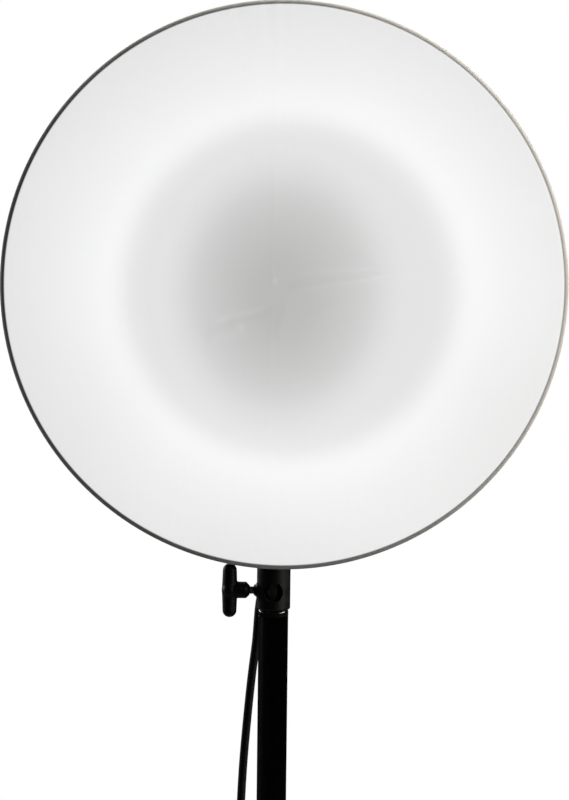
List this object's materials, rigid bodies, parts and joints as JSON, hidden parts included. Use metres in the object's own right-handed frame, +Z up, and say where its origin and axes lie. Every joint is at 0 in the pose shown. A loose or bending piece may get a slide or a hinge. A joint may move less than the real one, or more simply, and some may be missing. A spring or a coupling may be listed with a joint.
{
  "type": "studio ring lamp",
  "caption": "Round ring lamp for photo studios with ring tubes behind a white stretch diffuser cloth, tilting on a clamp socket and a folding tripod light stand, with a mains lead.",
  "frame": {"origin": "centre of the tripod's footprint, on the floor", "axes": "+Z up; the lamp faces -Y; +X is to the right of a viewer who faces the lamp"},
  "size_m": [0.6512, 0.5673, 1.3802],
  "materials": {
    "black_plastic": "satin",
    "black_shell": "matte",
    "white_enamel": "gloss",
    "tube_glass": "gloss",
    "white_plastic": "satin",
    "cloth": "matte",
    "elastic": "matte",
    "steel": "satin",
    "black_paint": "satin",
    "alloy": "satin",
    "rubber": "matte",
    "brass": "satin",
    "ballast_can": "satin",
    "gloss_plastic": "gloss"
  },
  "bodies": {
    "base": {"base_tube": "black_paint", "base_end_cap": "black_plastic", "mast_collar": "black_plastic", "tripod_hub": "black_plastic", "brace_low_pin_1": "steel", "brace_low_pin_2": "steel", "brace_low_pin_3": "steel", "mains_lead": "rubber", "lead_coil": "rubber", "lead_tail": "rubber", "plug_body": "rubber", "plug_blade_1": "brass", "plug_blade_2": "brass"},
    "collar_clamp": {"collar_knob": "black_plastic"},
    "spider": {"spider_collar": "black_plastic", "leg_pin_1": "steel", "leg_pin_2": "steel", "leg_pin_3": "steel"},
    "spider_clamp": {"spider_knob": "black_plastic"},
    "leg_a": {"leg_1": "black_paint", "foot_1": "rubber", "brace_top_pin_1": "steel"},
    "leg_b": {"leg_2": "black_paint", "foot_2": "rubber", "brace_top_pin_2": "steel"},
    "leg_c": {"leg_3": "black_paint", "foot_3": "rubber", "brace_top_pin_3": "steel"},
    "strut_a": {"brace_1": "black_paint"},
    "strut_b": {"brace_2": "black_paint"},
    "strut_c": {"brace_3": "black_paint"},
    "mast": {"mast_tube": "black_paint", "mast_end_plug": "black_plastic", "spigot": "alloy"},
    "socket": {"socket_body": "black_plastic"},
    "socket_clamp": {"t_handle": "black_plastic", "clamp_screw": "brass"},
    "head": {"housing_shell": "black_shell", "reflector_pan": "white_enamel", "tube_outer": "tube_glass", "tube_inner": "tube_glass", "lamp_base_outer": "white_plastic", "lamp_base_inner": "white_plastic", "lampholder_block": "white_plastic", "tube_clip_1": "white_plastic", "tube_clip_2": "white_plastic", "tube_clip_3": "white_plastic", "control_box": "black_plastic", "ballast_1": "ballast_can", "ballast_2": "ballast_can", "cable_gland": "black_plastic", "tilt_bracket": "black_paint", "bracket_screw_1": "steel", "bracket_screw_2": "steel", "tilt_bolt": "steel"},
    "tilt_clamp": {"tilt_knob": "black_plastic"},
    "switch_left": {"rocker_switch_1": "gloss_plastic"},
    "switch_right": {"rocker_switch_2": "gloss_plastic"},
    "diffuser": {"diffuser_cloth": "cloth", "elastic_hem": "elastic"}
  },
  "joints": [
    {"name": "mast_slide", "type": "slide", "parent": "base", "child": "mast", "axis": [0, 0, 1], "range_m": [-0.2, 0.2], "deforming": ["mains_lead"]},
    {"name": "socket_pan", "type": "hinge", "parent": "mast", "child": "socket", "pos_m": [0, -0.0906, 0.874], "axis": [0, 0, 1], "range_deg": [-90, 90]},
    {"name": "head_tilt", "type": "hinge", "parent": "socket", "child": "head", "pos_m": [0, -0.0906, 0.934], "axis": [1, 0, 0], "range_deg": [-60, 30]},
    {"name": "diffuser_off", "type": "slide", "parent": "head", "child": "diffuser", "axis": [0, -1, 0], "range_m": [0, 0.12]},
    {"name": "spider_slide", "type": "slide", "parent": "base", "child": "spider", "axis": [0, 0, 1], "range_m": [0, 0.14799]},
    {"name": "leg_a_fold", "type": "hinge", "parent": "spider", "child": "leg_a", "pos_m": [0, -0.0576, 0.2874], "axis": [-1, 0, 0], "range_deg": [0, 47.01]},
    {"name": "leg_b_fold", "type": "hinge", "parent": "spider", "child": "leg_b", "pos_m": [-0.02858, -0.1071, 0.2874], "axis": [0.5, -0.866, 0], "range_deg": [0, 47.01]},
    {"name": "leg_c_fold", "type": "hinge", "parent": "spider", "child": "leg_c", "pos_m": [0.02858, -0.1071, 0.2874], "axis": [0.5, 0.866, 0], "range_deg": [0, 47.01]},
    {"name": "strut_a_fold", "type": "hinge", "parent": "leg_a", "child": "strut_a", "pos_m": [0, 0.08029, 0.1717], "axis": [-1, 0, 0], "range_deg": [-105.7, 0]},
    {"name": "strut_b_fold", "type": "hinge", "parent": "leg_b", "child": "strut_b", "pos_m": [-0.14799, -0.17604, 0.1717], "axis": [0.5, -0.866, 0], "range_deg": [-105.7, 0]},
    {"name": "strut_c_fold", "type": "hinge", "parent": "leg_c", "child": "strut_c", "pos_m": [0.14799, -0.17604, 0.1717], "axis": [0.5, 0.866, 0], "range_deg": [-105.7, 0]},
    {"name": "socket_clamp_turn", "type": "hinge", "parent": "socket", "child": "socket_clamp", "pos_m": [-0.0372, -0.0906, 0.89], "axis": [-1, 0, 0], "range_deg": [-180, 180]},
    {"name": "tilt_clamp_turn", "type": "hinge", "parent": "head", "child": "tilt_clamp", "pos_m": [-0.017, -0.0906, 0.934], "axis": [-1, 0, 0], "range_deg": [-180, 180]},
    {"name": "collar_clamp_turn", "type": "hinge", "parent": "base", "child": "collar_clamp", "pos_m": [0.0384, -0.0906, 0.634], "axis": [1, 0, 0], "range_deg": [-180, 180]},
    {"name": "spider_clamp_turn", "type": "hinge", "parent": "spider", "child": "spider_clamp", "pos_m": [0.03412, -0.0709, 0.2954], "axis": [0.866, 0.5, 0], "range_deg": [-180, 180]},
    {"name": "switch_left_rock", "type": "hinge", "parent": "head", "child": "switch_left", "pos_m": [-0.0195, -0.0651, 0.9875], "axis": [1, 0, 0], "range_deg": [-8, 8]},
    {"name": "switch_right_rock", "type": "hinge", "parent": "head", "child": "switch_right", "pos_m": [0.0325, -0.0651, 0.9875], "axis": [1, 0, 0], "range_deg": [-8, 8]}
  ],
  "couplings": [
    {"joint": "leg_a_fold", "follows": "spider_slide", "rad_per_m": 5.543},
    {"joint": "leg_b_fold", "follows": "spider_slide", "rad_per_m": 5.543},
    {"joint": "leg_c_fold", "follows": "spider_slide", "rad_per_m": 5.543},
    {"joint": "strut_a_fold", "follows": "spider_slide", "rad_per_m": -12.464},
    {"joint": "strut_b_fold", "follows": "spider_slide", "rad_per_m": -12.464},
    {"joint": "strut_c_fold", "follows": "spider_slide", "rad_per_m": -12.464}
  ]
}
